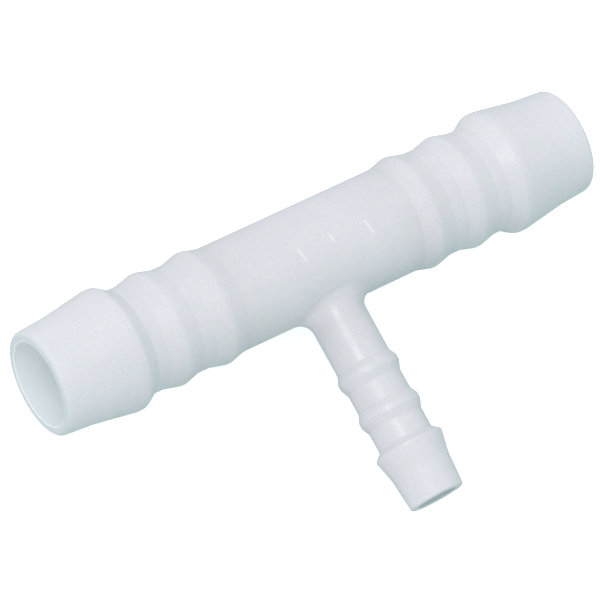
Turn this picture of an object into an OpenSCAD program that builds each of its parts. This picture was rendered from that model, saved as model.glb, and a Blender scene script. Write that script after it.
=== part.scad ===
// Barbed reducing tee connector for irrigation hose.
// Millimetres. +Z up. Origin where the axes of the run and the branch cross.
// The run lies along X and the branch points towards -Y.
// The real object is one moulding. Its regions are separate solids that meet face to face.

/* [Run] */
// Outside diameter of the plain tube between the ridges
run_tube_d = 11.2; // [10.8:0.1:11.4]
// Bore through the whole run
run_bore_d = 9; // [8:0.1:9.4]
// Distance from the origin to each open end
run_reach = 31.7; // [31:0.1:34]
// Distance from the origin to the start of each hose tail
run_tail_start = 10.5; // [9.5:0.1:10.5]

/* [Run ridges] */
// Diameter over the sealing ridges
run_ridge_d = 12.2; // [12:0.05:12.6]
// Distance from the origin to the crest of the first ridge
run_ridge_first = 12.45; // [12.45:0.05:12.6]
// Distance from one crest to the next
run_ridge_pitch = 5.4; // [5.2:0.1:5.6]
// Length of the flank on the side of the branch
run_ridge_back_l = 1.85; // [1.6:0.05:1.85]
// Length of the flank on the side of the open end
run_ridge_front_l = 2; // [1.6:0.05:2.1]
// Rounding of the ridge crests
run_ridge_round = 1.2; // [0.8:0.1:1.4]

/* [Run end barbs] */
// Diameter over the end barb
run_barb_d = 13.06; // [12.8:0.02:13.4]
// Distance from the origin to the middle of the barb's crest
run_barb_at = 23.2; // [23.2:0.1:23.5]
// Length of the barb's steep flank
run_barb_back_l = 1.9; // [1.6:0.05:2]
// Width of the round land on the crest
run_barb_land_l = 0.4; // [0.3:0.05:0.5]
// Rounding of the barb's crest
run_barb_round = 0.9; // [0.6:0.1:1]
// Diameter where the nose turns from its steep to its shallow taper
run_nose_d = 11.6; // [11.4:0.05:11.8]
// Distance from the crest to that turn
run_nose_turn_l = 5; // [4.6:0.1:5.4]
// Diameter of the open end before its edge is rounded
run_tip_d = 11.08; // [10.8:0.02:11.3]

/* [Branch] */
// Outside diameter of the branch tube
branch_tube_d = 5.86; // [5.6:0.02:6]
// Bore of the branch
branch_bore_d = 4; // [3.4:0.1:4.2]
// Distance from the run's axis to the branch's open end
branch_reach = 27.2; // [27:0.1:29]
// Rounding where the branch joins the run
junction_fillet = 1.6; // [1.2:0.1:1.6]

/* [Branch ridges] */
// Diameter over the branch ridges
branch_ridge_d = 6.62; // [6.5:0.02:6.8]
// Distance from the run's axis to the foot of the first ridge
branch_ridge_first = 11.85; // [11.6:0.05:12]
// Distance from one ridge to the next
branch_ridge_pitch = 4.36; // [4.2:0.02:4.4]
// Length of the ridge's steep flank
branch_ridge_back_l = 0.75; // [0.6:0.05:0.9]
// Width of the ridge's flat crest
branch_ridge_land_l = 0.6; // [0.4:0.05:0.8]
// Length of the ridge's shallow flank
branch_ridge_front_l = 0.9; // [0.7:0.05:1]

/* [Branch end barb] */
// Diameter over the branch's end barb
branch_barb_d = 7.3; // [7.1:0.02:7.4]
// Distance from the run's axis to the foot of the barb
branch_barb_at = 20.6; // [20.4:0.1:20.8]
// Length of the barb's steep back face
branch_barb_back_l = 0.6; // [0.4:0.05:0.8]
// Width of the round land on the crest
branch_barb_land_l = 0.3; // [0.2:0.05:0.4]
// Diameter where the nose turns from its steep to its shallow taper
branch_nose_d = 6.36; // [6.3:0.02:6.6]
// Distance from the land to that turn
branch_nose_turn_l = 2.1; // [1.8:0.1:2.4]
// Diameter of the open end before its edge is rounded
branch_tip_d = 5.84; // [5.6:0.02:6]

/* [Edges] */
// Rounding of the outer edge at the open ends
tip_round = 0.45; // [0.2:0.05:0.5]
// Countersink at the mouth of the run's bore
run_mouth_chamfer = 0.1; // [0.1:0.05:0.25]
// Countersink at the mouth of the branch's bore
branch_mouth_chamfer = 0.2; // [0.1:0.05:0.25]
// Rounding in the corner at the foot of each ridge
foot_round = 0.5; // [0.3:0.1:0.5]

/* [Hidden] */
$fn = 96;
run_r = run_tube_d / 2;
branch_r = branch_tube_d / 2;
// The branch's own tail starts just past the junction's rounding.
branch_tail_start = run_r + junction_fillet + 0.2;
// A cut runs this far past the face that it opens.
past = 1;
// How far the junction's rounding is sunk into the two tubes that it joins.
sink = 0.4;
// How far its edges stand proud of them, so that its flat facets stay outside the round tubes.
lip = 0.02;
// Steps around and across the junction's rounding
fillet_around = 60;
fillet_across = 8;
nylon = [0.9, 0.92, 0.92];

function unit(v) = v / norm(v);

// Turn from one direction to another, between -180 and 180 degrees.
function turn(from, to) =
    let (change = to - from)
    change > 180 ? change - 360 : (change < -180 ? change + 360 : change);

// Points of the arc of radius r that rounds the corner b between a and c.
function corner(a, b, c, r, steps = 4) =
    let (
        u = unit(a - b),
        v = unit(c - b),
        half = acos(u * v) / 2,
        middle = b + unit(u + v) * r / sin(half),
        first = b + u * r / tan(half) - middle,
        last = b + v * r / tan(half) - middle,
        start = atan2(first[1], first[0]),
        sweep = turn(start, atan2(last[1], last[0]))
    )
    [for (i = [0 : steps])
        let (angle = start + sweep * i / steps)
        middle + r * [cos(angle), sin(angle)]];

// An outline of [radius, height, rounding] points, with each rounded corner turned into an arc.
function outline(points) =
    [for (i = [0 : len(points) - 1])
        let (p = points[i], q = [p[0], p[1]], n = len(points))
        let (before = points[(i + n - 1) % n], after = points[(i + 1) % n])
        for (s = p[2] == 0 ? [q] : corner([before[0], before[1]], q, [after[0], after[1]], p[2])) s];

// The arc that joins two tubes, at the angle phi around the branch: the path of a ball rolled
// along the corner between them. The result is sunk a little into both tubes at its ends.
function fillet_ring(phi) =
    let (
        reach = branch_r + junction_fillet,
        aside = reach * sin(phi),
        ball = [reach * cos(phi), -sqrt(pow(run_r + junction_fillet, 2) - pow(aside, 2)), aside],
        to_branch = [-cos(phi), 0, -sin(phi)],
        to_run = unit([0, -ball[1], -ball[2]]),
        gap = acos(to_branch * to_run),
        inner = branch_r - sink,
        inner_y = sqrt(pow(run_r - sink, 2) - pow(inner * sin(phi), 2))
    )
    concat(
        [ball + (junction_fillet + sink) * to_branch],
        [for (i = [0 : fillet_across])
            ball + (junction_fillet - lip) * (sin(gap * (1 - i / fillet_across)) * to_branch
                + sin(gap * i / fillet_across) * to_run) / sin(gap)],
        [ball + (junction_fillet + sink) * to_run],
        [[inner * cos(phi), -inner_y, inner * sin(phi)]]
    );

module junction_rounding() {
    rings = [for (i = [0 : fillet_around - 1]) fillet_ring(360 * i / fillet_around)];
    m = len(rings[0]);
    n = fillet_around;
    points = [for (ring = rings) for (p = ring) p];
    faces = [for (i = [0 : n - 1]) for (j = [0 : m - 1])
        let (a = i * m + j, b = i * m + (j + 1) % m)
        let (c = ((i + 1) % n) * m + (j + 1) % m, d = ((i + 1) % n) * m + j)
        for (f = [[a, c, b], [a, d, c]]) f];
    polyhedron(points, faces, convexity = 6);
}

module run_bore() {
    rotate([0, 90, 0])
        cylinder(d = run_bore_d, h = 2 * (run_tail_start + past), center = true);
}

module branch_bore_root() {
    rotate([90, 0, 0])
        cylinder(d = branch_bore_d, h = branch_tail_start + past);
}

// The plain middle of the run, with the root of the branch blended into it.
module tee_body() {
    color(nylon)
    difference() {
        union() {
            rotate([0, 90, 0])
                cylinder(d = run_tube_d, h = 2 * run_tail_start, center = true);
            rotate([90, 0, 0])
                cylinder(d = branch_tube_d, h = branch_tail_start);
            junction_rounding();
        }
        run_bore();
        branch_bore_root();
    }
}

// One ridge of the run as outline points. The crest is at height h.
function run_ridge(h) = [
    [run_r, h - run_ridge_back_l, foot_round],
    [run_ridge_d / 2, h, run_ridge_round],
    [run_r, h + run_ridge_front_l, foot_round]
];

// A hose tail of the run, standing on the XY plane's origin and pointing up.
module run_tail() {
    barb_r = run_barb_d / 2;
    bore_r = run_bore_d / 2;
    crest_low = run_barb_at - run_barb_land_l / 2 - 0.25;
    crest_high = run_barb_at + run_barb_land_l / 2 + 0.07;
    profile = outline(concat(
        [[bore_r, run_tail_start, 0], [run_r, run_tail_start, 0]],
        run_ridge(run_ridge_first),
        run_ridge(run_ridge_first + run_ridge_pitch),
        [
            [run_r, run_barb_at - run_barb_back_l, foot_round],
            [barb_r, crest_low, run_barb_round],
            [barb_r, crest_high, run_barb_round],
            [run_nose_d / 2, run_barb_at + run_nose_turn_l, 6],
            [run_tip_d / 2, run_reach, tip_round],
            [bore_r + run_mouth_chamfer, run_reach, 0],
            [bore_r, run_reach - run_mouth_chamfer, 0]
        ]
    ));
    rotate_extrude()
        polygon(profile);
}

module run_tail_right() {
    color(nylon)
        rotate([0, 90, 0])
            run_tail();
}

module run_tail_left() {
    color(nylon)
        mirror([1, 0, 0])
            rotate([0, 90, 0])
                run_tail();
}

// One ridge of the branch as outline points. Its lower foot is at height h.
function branch_ridge(h) = [
    [branch_r, h, 0],
    [branch_ridge_d / 2, h + branch_ridge_back_l, 0.15],
    [branch_ridge_d / 2, h + branch_ridge_back_l + branch_ridge_land_l, 0.15],
    [branch_r, h + branch_ridge_back_l + branch_ridge_land_l + branch_ridge_front_l, 0]
];

module branch_tail() {
    bore_r = branch_bore_d / 2;
    barb_r = branch_barb_d / 2;
    crest_low = branch_barb_at + branch_barb_back_l;
    crest_high = crest_low + branch_barb_land_l;
    profile = outline(concat(
        [[bore_r, branch_tail_start, 0], [branch_r, branch_tail_start, 0]],
        branch_ridge(branch_ridge_first),
        branch_ridge(branch_ridge_first + branch_ridge_pitch),
        [
            [branch_r, branch_barb_at, 0],
            [barb_r, crest_low, 0],
            [barb_r, crest_high, 0],
            [branch_nose_d / 2, crest_high + branch_nose_turn_l, 3],
            [branch_tip_d / 2, branch_reach, tip_round],
            [bore_r + branch_mouth_chamfer, branch_reach, 0],
            [bore_r, branch_reach - branch_mouth_chamfer, 0]
        ]
    ));
    color(nylon)
        rotate([90, 0, 0])
            rotate_extrude()
                polygon(profile);
}

tee_body();
run_tail_left();
run_tail_right();
branch_tail();
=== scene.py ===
import math
import bpy
from mathutils import Matrix, Vector


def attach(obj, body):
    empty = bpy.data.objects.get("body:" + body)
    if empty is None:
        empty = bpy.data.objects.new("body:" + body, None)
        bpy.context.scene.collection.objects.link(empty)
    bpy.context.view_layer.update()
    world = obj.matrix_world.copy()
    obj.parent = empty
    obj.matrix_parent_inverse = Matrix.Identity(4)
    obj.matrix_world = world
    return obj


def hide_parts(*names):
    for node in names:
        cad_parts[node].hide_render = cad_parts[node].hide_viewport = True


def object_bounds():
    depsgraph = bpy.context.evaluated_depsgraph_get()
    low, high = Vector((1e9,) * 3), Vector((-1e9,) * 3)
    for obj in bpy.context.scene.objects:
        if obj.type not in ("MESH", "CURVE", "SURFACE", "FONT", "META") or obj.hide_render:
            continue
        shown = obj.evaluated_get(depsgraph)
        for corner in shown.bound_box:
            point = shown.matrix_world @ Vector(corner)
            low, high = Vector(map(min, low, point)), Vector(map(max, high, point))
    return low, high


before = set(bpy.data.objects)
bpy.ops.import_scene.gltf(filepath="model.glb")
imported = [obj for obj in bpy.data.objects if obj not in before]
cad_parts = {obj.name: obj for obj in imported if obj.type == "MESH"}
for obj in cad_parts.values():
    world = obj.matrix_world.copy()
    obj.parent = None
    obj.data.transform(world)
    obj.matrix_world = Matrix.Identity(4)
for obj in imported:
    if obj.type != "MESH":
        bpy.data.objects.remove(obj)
cad_low, cad_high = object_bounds()

MM = 0.001

# ---------------------------------------------------------------- dimensions, mm
# The run lies along X, the branch points towards -Y, and +Z is up.
RUN_R = 5.6
RUN_BORE_R = 4.5
RUN_SEAM = 10.5
RUN_REACH = 31.7
RUN_RIDGE_R = 6.1
RUN_RIDGES = (12.45, 17.85)
RUN_RIDGE_RISE = 1.85
RUN_RIDGE_FALL = 2.0
RUN_BARB_FOOT = 21.3
RUN_BARB_START = 22.75
RUN_BARB_END = 23.47
RUN_NOSE_AT = 28.2
RUN_BARB_R = 6.53
RUN_NOSE_R = 5.8
RUN_TIP_R = 5.54
BRANCH_R = 2.93
BRANCH_BORE_R = 2.0
BRANCH_SEAM = 7.4
BRANCH_REACH = 27.2
BRANCH_RIDGE_R = 3.31
BRANCH_RIDGES = (11.85, 16.21)
BRANCH_RIDGE_RISE = 0.75
BRANCH_RIDGE_TOP_END = 1.35
BRANCH_RIDGE_LENGTH = 2.25
BRANCH_BARB_FOOT = 20.6
BRANCH_BARB_START = 21.2
BRANCH_BARB_END = 21.45
BRANCH_NOSE_AT = 23.6
BRANCH_BARB_R = 3.65
BRANCH_NOSE_R = 3.18
BRANCH_TIP_R = 2.92
JUNCTION_FILLET = 1.6
BORE_EDGE = 0.12

# Three faint raised ticks on top of the run, which stand in for a moulded marking:
# place along the run, lean, length, and distance round from the top towards the branch.
TICKS = [(-2.7, 0.3, 1.8, 0.3), (1.0, 0.1, 1.1, 0.0), (5.2, 0.35, 1.8, 0.5)]
TICK_HALF_WIDTH = 0.2
TICK_HEIGHT = 0.07
TICK_STEPS = 8
TICK_SIDES = 12

# Facets round the run, along the back of the tee's middle, and round the branch.
ROUND_RUN = 96
ALONG_BACK = 48
ROUND_BRANCH = 2 * (ROUND_RUN + ALONG_BACK)


# ---------------------------------------------------------------- profiles
def unit(x, y):
    length = math.hypot(x, y)
    return x / length, y / length


def rounded(corners, step, arc_step=0.12):
    """A line of (radius, height, rounding) corners as (radius, height, normal) rows.

    The material is on the left of the line. Straight stretches are cut at every step.
    """
    rows = []
    ends = []
    for i, (r, h, rounding) in enumerate(corners):
        if i == 0 or i == len(corners) - 1 or rounding == 0:
            ends.append(((r, h), (r, h), None))
            continue
        a, c = corners[i - 1], corners[i + 1]
        u = unit(a[0] - r, a[1] - h)
        v = unit(c[0] - r, c[1] - h)
        half = math.acos(max(-1, min(1, u[0] * v[0] + u[1] * v[1]))) / 2
        reach = rounding / math.tan(half)
        m = unit(u[0] + v[0], u[1] + v[1])
        middle = (r + m[0] * rounding / math.sin(half), h + m[1] * rounding / math.sin(half))
        first = (r + u[0] * reach, h + u[1] * reach)
        last = (r + v[0] * reach, h + v[1] * reach)
        ends.append((first, last, (middle, rounding)))
    for i, (first, last, arc) in enumerate(ends):
        if arc:
            (mr, mh), rounding = arc
            a0 = math.atan2(first[1] - mh, first[0] - mr)
            a1 = math.atan2(last[1] - mh, last[0] - mr)
            sweep = (a1 - a0 + math.pi) % (2 * math.pi) - math.pi
            sign = 1 if sweep < 0 else -1
            n = max(3, math.ceil(abs(sweep) * rounding / arc_step), math.ceil(abs(sweep) / 0.2))
            for k in range(n + 1):
                a = a0 + sweep * k / n
                nr, nh = -sign * math.cos(a), -sign * math.sin(a)
                rows.append((mr + rounding * math.cos(a), mh + rounding * math.sin(a), nr, nh))
        if i + 1 < len(ends):
            start, stop = last, ends[i + 1][0]
            dr, dh = stop[0] - start[0], stop[1] - start[1]
            length = math.hypot(dr, dh)
            if length < 1e-6:
                continue
            nr, nh = dh / length, -dr / length
            n = max(1, math.ceil(length / step))
            for k in range(n + 1):
                t = k / n
                if arc and k == 0:
                    continue
                if ends[i + 1][2] and k == n:
                    continue
                rows.append((start[0] + dr * t, start[1] + dh * t, nr, nh))
    return rows


def run_profile():
    corners = [(RUN_R, RUN_SEAM, 0)]
    for top in RUN_RIDGES:
        corners += [
            (RUN_R, top - RUN_RIDGE_RISE, 0.5),
            (RUN_RIDGE_R, top, 1.2),
            (RUN_R, top + RUN_RIDGE_FALL, 0.5),
        ]
    corners += [
        (RUN_R, RUN_BARB_FOOT, 0.5),
        (RUN_BARB_R, RUN_BARB_START, 0.9),
        (RUN_BARB_R, RUN_BARB_END, 0.9),
        (RUN_NOSE_R, RUN_NOSE_AT, 6.0),
        (RUN_TIP_R, RUN_REACH, 0.45),
        (RUN_BORE_R, RUN_REACH, 0.1),
        (RUN_BORE_R, RUN_SEAM, 0),
    ]
    return rounded(corners, step=0.45)


def branch_profile():
    corners = [(BRANCH_R, BRANCH_SEAM, 0)]
    for foot in BRANCH_RIDGES:
        corners += [
            (BRANCH_R, foot, 0.12),
            (BRANCH_RIDGE_R, foot + BRANCH_RIDGE_RISE, 0.15),
            (BRANCH_RIDGE_R, foot + BRANCH_RIDGE_TOP_END, 0.15),
            (BRANCH_R, foot + BRANCH_RIDGE_LENGTH, 0.12),
        ]
    corners += [
        (BRANCH_R, BRANCH_BARB_FOOT, 0.12),
        (BRANCH_BARB_R, BRANCH_BARB_START, 0.06),
        (BRANCH_BARB_R, BRANCH_BARB_END, 0.06),
        (BRANCH_NOSE_R, BRANCH_NOSE_AT, 3.0),
        (BRANCH_TIP_R, BRANCH_REACH, 0.3),
        (BRANCH_BORE_R + 0.05, BRANCH_REACH, 0.18),
        (BRANCH_BORE_R, BRANCH_REACH - 1.2, 0),
        (BRANCH_BORE_R, BRANCH_SEAM, 0),
    ]
    return rounded(corners, step=0.4)


# ---------------------------------------------------------------- surfaces
class Skin:
    """Vertices with exact normals, and faces whose winding follows those normals."""

    def __init__(self):
        self.verts, self.normals, self.faces = [], [], []

    def add_rings(self, rings):
        """Rings of (place, normal) pairs, each ring closed on itself."""
        base = len(self.verts)
        count = len(rings[0])
        for ring in rings:
            for place, normal in ring:
                self.verts.append(place)
                self.normals.append(normal)
        for i in range(len(rings) - 1):
            for j in range(count):
                a = base + i * count + j
                b = base + i * count + (j + 1) % count
                self.quad(a, b, b + count, a + count)

    def add_cap(self, outer, inner, normal):
        """A flat ring between two rings of places, which closes a piece where it meets its neighbour."""
        self.add_rings([[(place, normal) for place, _ in outer], [(place, normal) for place, _ in inner]])

    def quad(self, a, b, c, d):
        va, vb, vc, vd = (self.verts[k] for k in (a, b, c, d))
        facing = (vc - va).cross(vd - vb)
        want = self.normals[a] + self.normals[b] + self.normals[c] + self.normals[d]
        self.faces.append((a, b, c, d) if facing.dot(want) > 0 else (d, c, b, a))


def revolve(profile, axis, side, up, count):
    """Rings of a profile turned round an axis. side and up are where the turn starts and goes."""
    rings = []
    for r, h, nr, nh in profile:
        ring = []
        for k in range(count):
            a = 2 * math.pi * k / count
            out = side * math.cos(a) + up * math.sin(a)
            ring.append((axis * h + out * r, out * nr + axis * nh))
        rings.append(ring)
    return rings


def middle_edge(run_r):
    """The middle's outer edge, as (x, distance round the run) points in step with the branch's turn."""
    half_turn = math.pi * run_r
    points = []
    for k in range(ROUND_RUN):
        points.append((RUN_SEAM, half_turn * (2 * k / ROUND_RUN - 1)))
    for k in range(ALONG_BACK):
        points.append((RUN_SEAM * (1 - 2 * k / ALONG_BACK), half_turn))
    for k in range(ROUND_RUN):
        points.append((-RUN_SEAM, half_turn * (1 - 2 * k / ROUND_RUN)))
    for k in range(ALONG_BACK):
        points.append((RUN_SEAM * (2 * k / ALONG_BACK - 1), -half_turn))
    shift = ROUND_RUN // 2
    return points[shift:] + points[:shift]


def middle(run_r, branch_r, fillet, outside, across, along):
    """Rings from the branch's seam, round the junction's rounding and out over the run."""
    facing = 1 if outside else -1
    edge = middle_edge(run_r)
    rings = []
    start = -BRANCH_SEAM
    reach = branch_r + fillet
    count = len(edge)
    angles = [2 * math.pi * k / count for k in range(count)]
    balls = []
    for a in angles:
        aside = reach * math.sin(a)
        drop = math.sqrt((run_r + fillet) ** 2 - aside ** 2)
        balls.append(Vector((reach * math.cos(a), -drop, aside)))
    straight = 3 if outside else 10
    for i in range(straight):
        ring = []
        for a, ball in zip(angles, balls):
            out = Vector((math.cos(a), 0, math.sin(a)))
            place = out * branch_r
            place.y = start + (ball.y - start) * i / straight
            ring.append((place, out * facing))
        rings.append(ring)
    contacts = []
    for i in range(across + 1):
        ring = []
        for a, ball in zip(angles, balls):
            to_branch = Vector((-math.cos(a), 0, -math.sin(a)))
            to_run = Vector((0, -ball.y, -ball.z)).normalized()
            gap = to_branch.angle(to_run)
            t = i / across
            way = (to_branch * math.sin(gap * (1 - t)) + to_run * math.sin(gap * t)) / math.sin(gap)
            ring.append((ball + way * fillet, -way * facing))
            if i == across:
                contacts.append((ring[-1][0].x, run_r * math.atan2(ring[-1][0].z, -ring[-1][0].y)))
        rings.append(ring)
    for i in range(1, along + 1):
        t = i / along
        ring = []
        for (x0, s0), (x1, s1) in zip(contacts, edge):
            x = x0 + (x1 - x0) * t
            a = (s0 + (s1 - s0) * t) / run_r
            out = Vector((0, -math.cos(a), math.sin(a)))
            ring.append((out * run_r + Vector((x, 0, 0)), out * facing))
        rings.append(ring)
    return rings


def finish_piece(name, skin, material):
    """The skin as a smooth mesh object in metres, with doubled points joined and its normals kept."""
    index, verts, normals, moved = {}, [], [], []
    for place, normal in zip(skin.verts, skin.normals):
        key = tuple(round(k, 4) for k in place) + tuple(round(k, 2) for k in normal)
        if key not in index:
            index[key] = len(verts)
            verts.append(place)
            normals.append(normal)
        moved.append(index[key])
    faces = []
    for face in skin.faces:
        corners = []
        for k in face:
            if moved[k] not in corners:
                corners.append(moved[k])
        if len(corners) > 2:
            faces.append(corners)
    mesh = bpy.data.meshes.new(name)
    mesh.from_pydata([v * MM for v in verts], [], faces)
    mesh.validate()
    mesh.update()
    mesh.polygons.foreach_set("use_smooth", [True] * len(mesh.polygons))
    mesh.normals_split_custom_set_from_vertices([n.normalized() for n in normals])
    obj = bpy.data.objects.new(name, mesh)
    bpy.context.scene.collection.objects.link(obj)
    mesh.materials.append(material)
    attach(obj, "root")
    return obj


# ---------------------------------------------------------------- material
MILK_DARK = (0.765, 0.78, 0.795, 1)
MILK_PALE = (0.81, 0.81, 0.83, 1)
MOTTLE_GREEN = (0.98, 1.0, 0.985, 1)
MOTTLE_LILAC = (1.0, 0.98, 1.0, 1)
SPECK = (0.94, 0.94, 0.94, 1)
NO_TINT = (1.0, 1.0, 1.0, 1)
# Painted light: the wide bore's paler colour.
RUN_BORE_PAINTED_LIGHT = (0.93, 0.985, 0.985, 1)
# Painted shade: the narrow bore's darker, greener colour.
BRANCH_BORE_PAINTED_SHADE = (0.50, 0.60, 0.61, 1)
# Painted shade: the darker, greener colour of the run's end rims.
RIM_PAINTED_SHADE = (0.69, 0.76, 0.77, 1)
# Painted highlight: the ticks' paler colour.
TICK_PAINTED_HIGHLIGHT = (0.875, 0.87, 0.885, 1)
GLOW_COLOUR = (0.86, 0.9, 0.91, 1)
GLOW_SHARE = 0.22

# Noise scales, per metre.
CLOUDS = 160
WAVES = 330
SHEEN = 900
MOTTLE = 1100
GRAIN = 2600
SPECKS = 4600

# Where the painted light, painted shade and painted highlight begin and end, mm.
RUN_BORE_MARGIN = 0.12
BRANCH_BORE_MARGIN = 0.08
RIM_DEPTH = 0.2
TICK_LIFT = 0.02
TICKS_WITHIN = 8
TICKS_ABOVE = -3


def plastic():
    mat = bpy.data.materials.new("natural_plastic")
    mat.use_nodes = True
    nt = mat.node_tree
    bsdf = nt.nodes["Principled BSDF"]
    coords = nt.nodes.new("ShaderNodeTexCoord")

    def noise(scale, detail=2):
        n = nt.nodes.new("ShaderNodeTexNoise")
        n.inputs["Scale"].default_value = scale
        n.inputs["Detail"].default_value = detail
        nt.links.new(coords.outputs["Object"], n.inputs["Vector"])
        return n

    def spread(source, low, high):
        n = nt.nodes.new("ShaderNodeMapRange")
        n.inputs["From Min"].default_value = 0.3
        n.inputs["From Max"].default_value = 0.7
        n.inputs["To Min"].default_value = low
        n.inputs["To Max"].default_value = high
        nt.links.new(source.outputs["Fac"], n.inputs["Value"])
        return n

    def math_node(operation, a, b=None):
        n = nt.nodes.new("ShaderNodeMath")
        n.operation = operation
        for socket, value in zip(n.inputs, (a, b)):
            if isinstance(value, (int, float)):
                socket.default_value = value
            elif value is not None:
                nt.links.new(value, socket)
        return n.outputs[0]

    def tint(mask, under, over):
        n = nt.nodes.new("ShaderNodeMix")
        n.data_type = "RGBA"
        for socket, value in ((n.inputs["Factor"], mask), (n.inputs[6], under), (n.inputs[7], over)):
            if isinstance(value, tuple):
                socket.default_value = value
            else:
                nt.links.new(value, socket)
        return n.outputs[2]

    def ramped(source, low, low_colour, high, high_colour):
        n = nt.nodes.new("ShaderNodeValToRGB")
        n.color_ramp.elements[0].position = low
        n.color_ramp.elements[0].color = low_colour
        n.color_ramp.elements[1].position = high
        n.color_ramp.elements[1].color = high_colour
        nt.links.new(source.outputs["Fac"], n.inputs["Fac"])
        return n.outputs["Color"]

    def multiplied(a, b):
        n = nt.nodes.new("ShaderNodeMix")
        n.data_type = "RGBA"
        n.blend_type = "MULTIPLY"
        n.inputs["Factor"].default_value = 1.0
        nt.links.new(a, n.inputs[6])
        nt.links.new(b, n.inputs[7])
        return n.outputs[2]

    # Milky plastic: wide soft clouds, lilac and green mottle of about a millimetre, and fine grain.
    milk = ramped(noise(CLOUDS, 3), 0.3, MILK_DARK, 0.7, MILK_PALE)
    mottle = ramped(noise(MOTTLE), 0.35, MOTTLE_GREEN, 0.65, MOTTLE_LILAC)
    specks = ramped(noise(SPECKS, 1), 0.35, SPECK, 0.65, NO_TINT)
    outside = multiplied(multiplied(milk, mottle), specks)

    # The two bores: the wide one is painted paler, as painted light inside it; the narrow one is painted
    # darker and greener, as painted shade inside it.
    place = nt.nodes.new("ShaderNodeSeparateXYZ")
    nt.links.new(coords.outputs["Object"], place.inputs["Vector"])
    px, py, pz = (place.outputs[k] for k in ("X", "Y", "Z"))
    px2, py2, pz2 = (math_node("MULTIPLY", v, v) for v in (px, py, pz))
    from_run = math_node("SQRT", math_node("ADD", py2, pz2))
    from_branch = math_node("SQRT", math_node("ADD", px2, pz2))
    # Painted light: where the wide bore is painted paler.
    painted_light_run_bore = math_node("LESS_THAN", from_run, (RUN_BORE_R + RUN_BORE_MARGIN) * MM)
    # Painted shade: where the narrow bore is painted darker.
    painted_shade_branch_bore = math_node(
        "MULTIPLY",
        math_node("LESS_THAN", from_branch, (BRANCH_BORE_R + BRANCH_BORE_MARGIN) * MM),
        math_node("LESS_THAN", py, -(RUN_BORE_R + RUN_BORE_MARGIN) * MM),
    )
    colour = tint(painted_light_run_bore, outside, RUN_BORE_PAINTED_LIGHT)
    colour = tint(painted_shade_branch_bore, colour, BRANCH_BORE_PAINTED_SHADE)

    # Painted shade: the thin rims at the ends of the run are painted darker and greener. Painted
    # highlight: the ticks are painted a little paler.
    from_middle = math_node("ABSOLUTE", px)
    # Painted shade: where the rims at the run's ends are painted darker.
    painted_shade_rim = math_node(
        "MULTIPLY",
        math_node("GREATER_THAN", from_middle, (RUN_REACH - RIM_DEPTH) * MM),
        math_node("GREATER_THAN", from_run, (RUN_BORE_R + RUN_BORE_MARGIN) * MM),
    )
    # Painted highlight: where the ticks are painted paler.
    painted_highlight_tick = math_node(
        "MULTIPLY",
        math_node("LESS_THAN", from_middle, TICKS_WITHIN * MM),
        math_node("GREATER_THAN", from_run, (RUN_R + TICK_LIFT) * MM),
    )
    painted_highlight_tick = math_node("MULTIPLY", painted_highlight_tick, math_node("GREATER_THAN", py, TICKS_ABOVE * MM))
    colour = tint(painted_shade_rim, colour, RIM_PAINTED_SHADE)
    colour = tint(painted_highlight_tick, colour, TICK_PAINTED_HIGHLIGHT)
    nt.links.new(colour, bsdf.inputs["Base Color"])

    rough = spread(noise(SHEEN, 3), 0.3, 0.42)
    nt.links.new(rough.outputs["Result"], bsdf.inputs["Roughness"])

    bsdf.inputs["IOR"].default_value = 1.5
    bsdf.inputs["Specular IOR Level"].default_value = 0.5

    grain = nt.nodes.new("ShaderNodeBump")
    grain.inputs["Strength"].default_value = 0.25
    grain.inputs["Distance"].default_value = 0.00004
    nt.links.new(noise(GRAIN).outputs["Fac"], grain.inputs["Height"])
    wave = nt.nodes.new("ShaderNodeBump")
    wave.inputs["Strength"].default_value = 0.3
    wave.inputs["Distance"].default_value = 0.0001
    nt.links.new(noise(WAVES).outputs["Fac"], wave.inputs["Height"])
    nt.links.new(grain.outputs["Normal"], wave.inputs["Normal"])
    nt.links.new(wave.outputs["Normal"], bsdf.inputs["Normal"])

    # A little of the light behind the thin wall comes through it.
    glow = nt.nodes.new("ShaderNodeBsdfTranslucent")
    glow.inputs["Color"].default_value = GLOW_COLOUR
    both = nt.nodes.new("ShaderNodeMixShader")
    both.inputs["Fac"].default_value = GLOW_SHARE
    nt.links.new(bsdf.outputs["BSDF"], both.inputs[1])
    nt.links.new(glow.outputs["BSDF"], both.inputs[2])
    nt.links.new(both.outputs["Shader"], nt.nodes["Material Output"].inputs["Surface"])
    return mat


natural = plastic()

X, Y, Z = Vector((1, 0, 0)), Vector((0, 1, 0)), Vector((0, 0, 1))


def hose_tail(name, node, profile, axis, side, up, count):
    """A tail turned round its own axis, closed by a flat ring where it meets the middle."""
    rings = revolve(profile, axis, side, up, count)
    skin = Skin()
    skin.add_rings(rings)
    skin.add_cap(rings[0], rings[-1], -axis)
    piece = finish_piece(name, skin, natural)
    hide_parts(node)


def tick(x, lean, length, half_width, height, turned):
    """A faint raised stroke across the top of the run, half sunk into it, as (place, normal) rings."""
    rings = []
    for i in range(2 * TICK_STEPS + 1):
        t = i / TICK_STEPS - 1
        swell = max(0.02, (1 - t ** 6) ** 0.5) if abs(t) < 1 else 0.02
        a = (turned + t * length / 2) / RUN_R
        out = Vector((0, -math.sin(a), math.cos(a)))
        ring = []
        for k in range(TICK_SIDES):
            b = 2 * math.pi * k / TICK_SIDES
            place = Vector((x + lean * t / 2 + half_width * swell * math.cos(b), 0, 0))
            place += out * (RUN_R + height * swell * math.sin(b))
            ring.append((place, (X * math.cos(b) / half_width + out * math.sin(b) / height).normalized()))
        rings.append(ring)
    return rings


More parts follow.
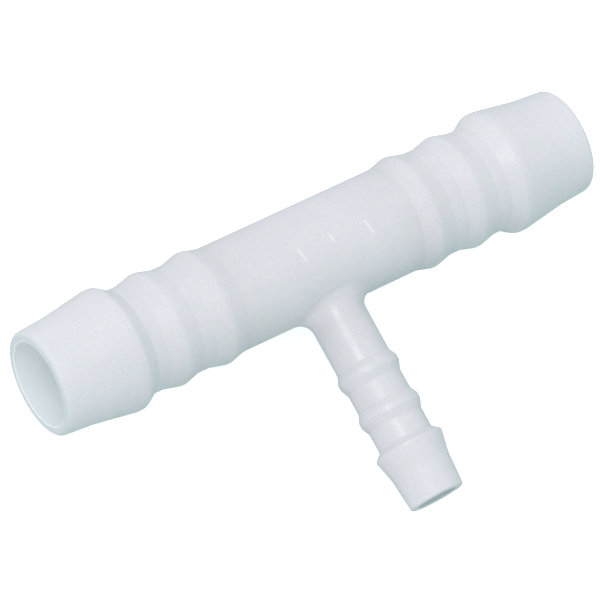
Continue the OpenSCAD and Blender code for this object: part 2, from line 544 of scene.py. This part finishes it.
def tee_middle(ticks):
    """The plain middle of the run with the branch's root, closed where the three tails meet it."""
    outer = middle(RUN_R, BRANCH_R, JUNCTION_FILLET, True, 14, 30)
    inner = middle(RUN_BORE_R, BRANCH_BORE_R, BORE_EDGE, False, 5, 26)
    skin = Skin()
    skin.add_rings(outer)
    skin.add_rings(inner)
    skin.add_cap(outer[0], inner[0], -Y)
    for axis in (X, -X):
        turned = [revolve([(r, RUN_SEAM, 1, 0)], axis, -Y, Z, ROUND_RUN)[0] for r in (RUN_R, RUN_BORE_R)]
        skin.add_cap(turned[0], turned[1], axis)
    for x, lean, length, turned in ticks:
        skin.add_rings(tick(x, lean, length, TICK_HALF_WIDTH, TICK_HEIGHT, turned))
    piece = finish_piece("tee_middle", skin, natural)
    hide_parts("tee_body")


tee_middle(TICKS)
hose_tail("hose_tail_left", "run_tail_left", run_profile(), -X, -Y, Z, ROUND_RUN)
hose_tail("hose_tail_right", "run_tail_right", run_profile(), X, -Y, Z, ROUND_RUN)
hose_tail("hose_tail_branch", "branch_tail", branch_profile(), -Y, X, Z, ROUND_BRANCH)

# ---------------------------------------------------------------- floor
floor_mat = bpy.data.materials.new("floor_white")
floor_mat.use_nodes = True
paper = floor_mat.node_tree.nodes["Principled BSDF"]
paper.inputs["Base Color"].default_value = (0.95, 0.95, 0.95, 1)
paper.inputs["Roughness"].default_value = 0.9
paper.inputs["Specular IOR Level"].default_value = 0.0
paper.inputs["Emission Color"].default_value = (1, 1, 1, 1)
paper.inputs["Emission Strength"].default_value = 0.46
FLOOR_HALF = 1.5
FLOOR_GAP = 0.00002
floor_mesh = bpy.data.meshes.new("floor")
low = cad_low.z - FLOOR_GAP
floor_corners = [(x * FLOOR_HALF, y * FLOOR_HALF, low) for x, y in ((-1, -1), (1, -1), (1, 1), (-1, 1))]
floor_mesh.from_pydata(floor_corners, [], [(0, 1, 2, 3)])
floor_mesh.materials.append(floor_mat)
floor = bpy.data.objects.new("floor", floor_mesh)
bpy.context.scene.collection.objects.link(floor)
floor.visible_diffuse = False
floor.visible_glossy = False

# ---------------------------------------------------------------- light
world = bpy.data.worlds.new("studio")
bpy.context.scene.world = world
world.use_nodes = True
tree = world.node_tree
sky = tree.nodes["Background"]
sky.inputs["Strength"].default_value = 1.13
direction = tree.nodes.new("ShaderNodeTexCoord")
towards = tree.nodes.new("ShaderNodeVectorMath")
towards.operation = "DOT_PRODUCT"
towards.inputs[1].default_value = Vector((-0.58, 0.43, 0.70)).normalized()
tree.links.new(direction.outputs["Generated"], towards.inputs[0])
rise = tree.nodes.new("ShaderNodeMapRange")
rise.inputs["From Min"].default_value = -1.0
rise.inputs["From Max"].default_value = 1.0
tree.links.new(towards.outputs["Value"], rise.inputs["Value"])
tent = tree.nodes.new("ShaderNodeValToRGB")
tent.color_ramp.elements[0].position = 0.2
tent.color_ramp.elements[0].color = (0.40, 0.57, 0.56, 1)
tent.color_ramp.elements[1].position = 0.8
tent.color_ramp.elements[1].color = (0.96, 0.935, 0.985, 1)
middle_stop = tent.color_ramp.elements.new(0.5)
middle_stop.color = (0.80, 0.84, 0.855, 1)
tree.links.new(rise.outputs["Result"], tent.inputs["Fac"])
tree.links.new(tent.outputs["Color"], sky.inputs["Color"])


def softbox(name, way, distance, size, power):
    light = bpy.data.lights.new(name, "AREA")
    light.shape = "DISK"
    light.size = size
    light.energy = power
    obj = bpy.data.objects.new(name, light)
    way = Vector(way).normalized()
    obj.location = way * distance
    obj.rotation_mode = "QUATERNION"
    obj.rotation_quaternion = (-way).to_track_quat("-Z", "Y")
    bpy.context.scene.collection.objects.link(obj)
    return obj


KEY_WAY = (-0.415, 0.17, 0.894)
KEY_DISTANCE = 0.9

softbox("key", KEY_WAY, KEY_DISTANCE, 0.4, 1.3)
glint = softbox("glint", KEY_WAY, KEY_DISTANCE, 0.12, 0.9)
glint.visible_diffuse = False

# ---------------------------------------------------------------- camera
AZIMUTH = math.radians(-70.57)
ELEVATION = math.radians(63.72)
ROLL = math.radians(43.58)
DISTANCE = 0.600
AIM = Vector((-0.00274, -0.00337, 0.0))
SENSOR = 36
LENS = 361.2

outward = Vector((math.sin(AZIMUTH), -math.cos(AZIMUTH), 0))
back = outward * math.cos(ELEVATION) + Vector((0, 0, math.sin(ELEVATION)))
camera = bpy.data.objects.new("camera", bpy.data.cameras.new("camera"))
camera.data.sensor_width = SENSOR
camera.data.lens = LENS
camera.location = back * DISTANCE
forward = (AIM - camera.location).normalized()
level_right = Vector((math.cos(AZIMUTH), math.sin(AZIMUTH), 0))
level_up = back.cross(level_right)
right = level_right * math.cos(ROLL) + level_up * math.sin(ROLL)
right = (right - forward * right.dot(forward)).normalized()
up = right.cross(forward)
camera.rotation_mode = "QUATERNION"
camera.rotation_quaternion = Matrix((right, up, -forward)).transposed().to_quaternion()
camera.data.clip_start = 0.01
camera.data.clip_end = 10
bpy.context.scene.collection.objects.link(camera)
bpy.context.scene.camera = camera

bpy.context.scene.view_settings.view_transform = "Standard"
